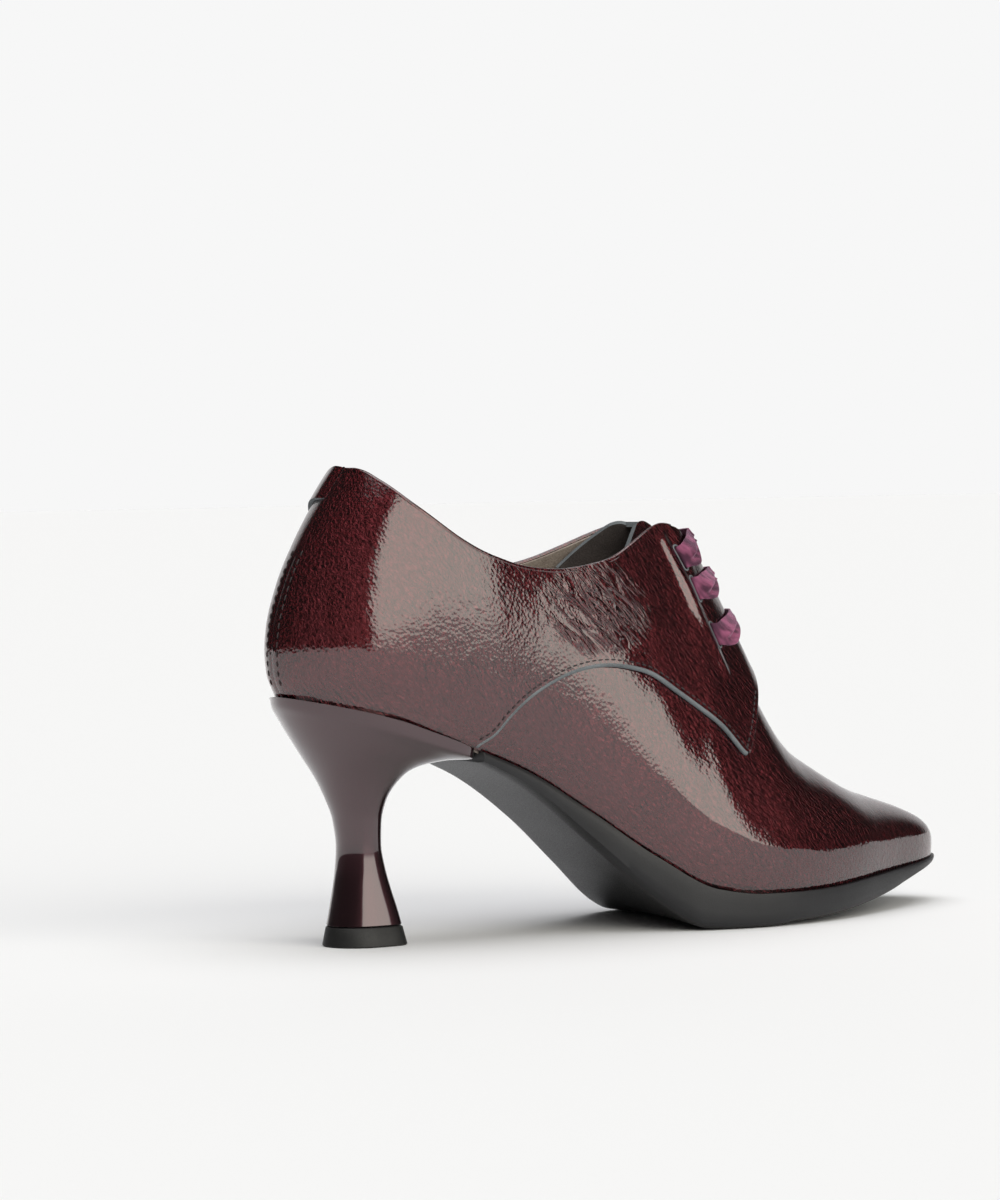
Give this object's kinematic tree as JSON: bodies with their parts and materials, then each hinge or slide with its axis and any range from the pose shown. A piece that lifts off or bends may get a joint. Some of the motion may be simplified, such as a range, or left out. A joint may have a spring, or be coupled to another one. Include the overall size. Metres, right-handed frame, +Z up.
{
  "type": "blucher shoe",
  "caption": "Laced low-cut shoe with open-fronted quarters over a plain vamp, a pointed round toe, a moulded sole and a high spool heel.",
  "frame": {"origin": "middle of the shoe's box, on the floor that the top lift and the sole stand on", "axes": "+X towards the toe, +Y towards the inner side of the foot, +Z up"},
  "size_m": [0.2296, 0.0802, 0.1347],
  "materials": {
    "patent_leather": "crinkled high gloss",
    "tongue_leather": "matte",
    "sock_lining": "matte",
    "sole_rubber": "matte",
    "heel_lacquer": "high gloss",
    "lift_rubber": "matte",
    "lace_velvet": "velvet"
  },
  "bodies": {
    "root": {"upper": "patent_leather", "tongue": "tongue_leather", "insole": "sock_lining", "outsole": "sole_rubber", "heel": "heel_lacquer", "top_lift": "lift_rubber", "lace": "lace_velvet"}
  },
  "joints": []
}
